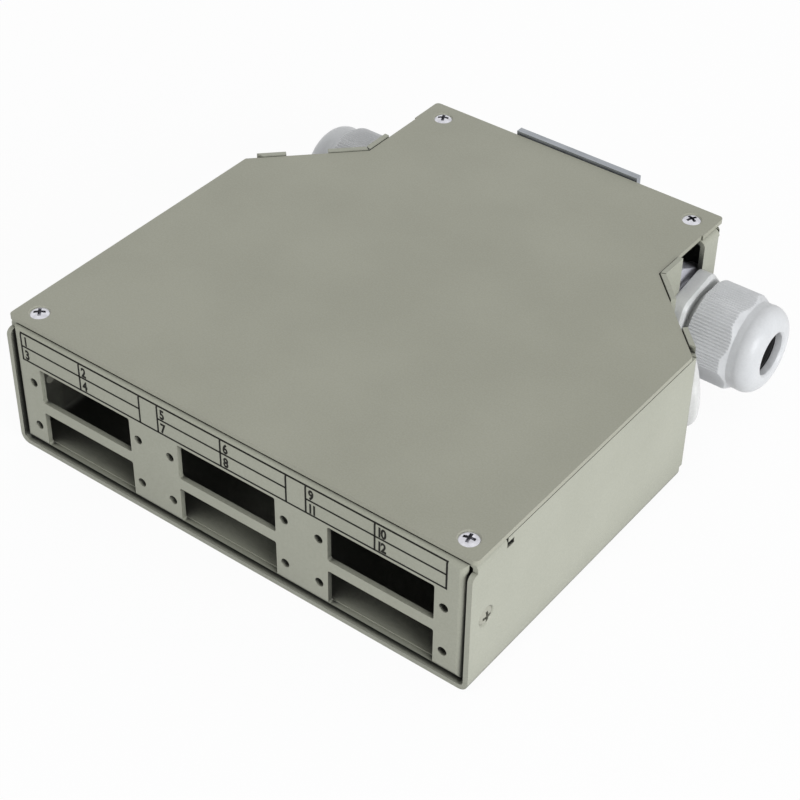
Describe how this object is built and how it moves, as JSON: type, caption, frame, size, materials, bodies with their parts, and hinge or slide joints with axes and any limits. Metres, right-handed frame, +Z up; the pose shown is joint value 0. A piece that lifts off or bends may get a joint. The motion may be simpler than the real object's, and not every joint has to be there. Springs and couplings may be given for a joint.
{
  "type": "fibre optic termination box",
  "caption": "Flat sheet-steel fibre splice box for rail mounting: chamfered plan, screwed lid, front panel with adapter cut-outs and printed port table, cable glands and rear clip.",
  "frame": {"origin": "middle of the whole box in plan, at the level of the tray underside", "axes": "+X to the right and +Y away from somebody facing the adapter panel, +Z up through the lid; the adapter panel faces -Y and the rail clip +Y"},
  "size_m": [0.133, 0.1368, 0.0366],
  "materials": {
    "grey_paint": "fine powder coat, satin",
    "grey_paint_lid": "fine powder coat, satin",
    "grey_paint_panel": "fine powder coat, satin",
    "painted_screw": "painted over",
    "screw_steel": "bright zinc",
    "zinc_plate": "zinc plated",
    "zinc_latch": "zinc plated",
    "spring_steel": "drawn wire",
    "rivet_steel": "zinc plated",
    "brass": "turned",
    "holder_plastic": "moulded",
    "guide_plastic": "moulded",
    "gland_plastic": "moulded nylon",
    "nut_plastic": "moulded nylon",
    "locknut_plastic": "moulded nylon",
    "plug_plastic": "moulded nylon",
    "seal_rubber": "moulded"
  },
  "bodies": {
    "box": {"clip_rivets": "rivet_steel", "fibre_guide_1": "guide_plastic", "fibre_guide_2": "guide_plastic", "fibre_guide_3": "guide_plastic", "fibre_guide_4": "guide_plastic", "front_panel": "grey_paint_panel", "holder_screws": "screw_steel", "latch_spring": "spring_steel", "left_clamp_post": "brass", "left_clamp_screw": "screw_steel", "left_clamp_washer": "rivet_steel", "left_gland_body": "gland_plastic", "left_gland_locknut": "locknut_plastic", "left_plug": "plug_plastic", "left_plug_locknut": "locknut_plastic", "lid": "grey_paint_lid", "lid_screws": "screw_steel", "panel_screws": "painted_screw", "rail_clip": "zinc_plate", "right_clamp_post": "brass", "right_clamp_screw": "screw_steel", "right_clamp_washer": "rivet_steel", "right_gland_body": "gland_plastic", "right_gland_locknut": "locknut_plastic", "right_plug": "plug_plastic", "right_plug_locknut": "locknut_plastic", "splice_holder": "holder_plastic", "tray": "grey_paint"},
    "latch": {"rail_latch": "zinc_latch"},
    "right_seal": {"right_gland_seal": "seal_rubber"},
    "right_nut": {"right_gland_nut": "nut_plastic"},
    "left_seal": {"left_gland_seal": "seal_rubber"},
    "left_nut": {"left_gland_nut": "nut_plastic"}
  },
  "joints": [
    {"name": "rail_latch_slide", "type": "slide", "parent": "box", "child": "latch", "axis": [1, 0, 0], "range_m": [0, 0.003], "stiffness_N_per_m": 400, "springref_m": -0.004, "deforming": ["latch_spring"]},
    {"name": "right_seal_slide", "type": "slide", "parent": "box", "child": "right_seal", "axis": [-1, 0, 0], "range_m": [0, 0.0015]},
    {"name": "right_nut_turn", "type": "hinge", "parent": "right_seal", "child": "right_nut", "pos_m": [0.0572, 0.0478, 0.016], "axis": [-1, 0, 0], "range_deg": [0, 360]},
    {"name": "left_seal_slide", "type": "slide", "parent": "box", "child": "left_seal", "axis": [1, 0, 0], "range_m": [0, 0.0015]},
    {"name": "left_nut_turn", "type": "hinge", "parent": "left_seal", "child": "left_nut", "pos_m": [-0.0572, 0.0478, 0.016], "axis": [1, 0, 0], "range_deg": [0, 360]}
  ],
  "couplings": [
    {"joint": "right_nut_turn", "follows": "right_seal_slide", "rad_per_m": 4188},
    {"joint": "left_nut_turn", "follows": "left_seal_slide", "rad_per_m": 4188}
  ]
}
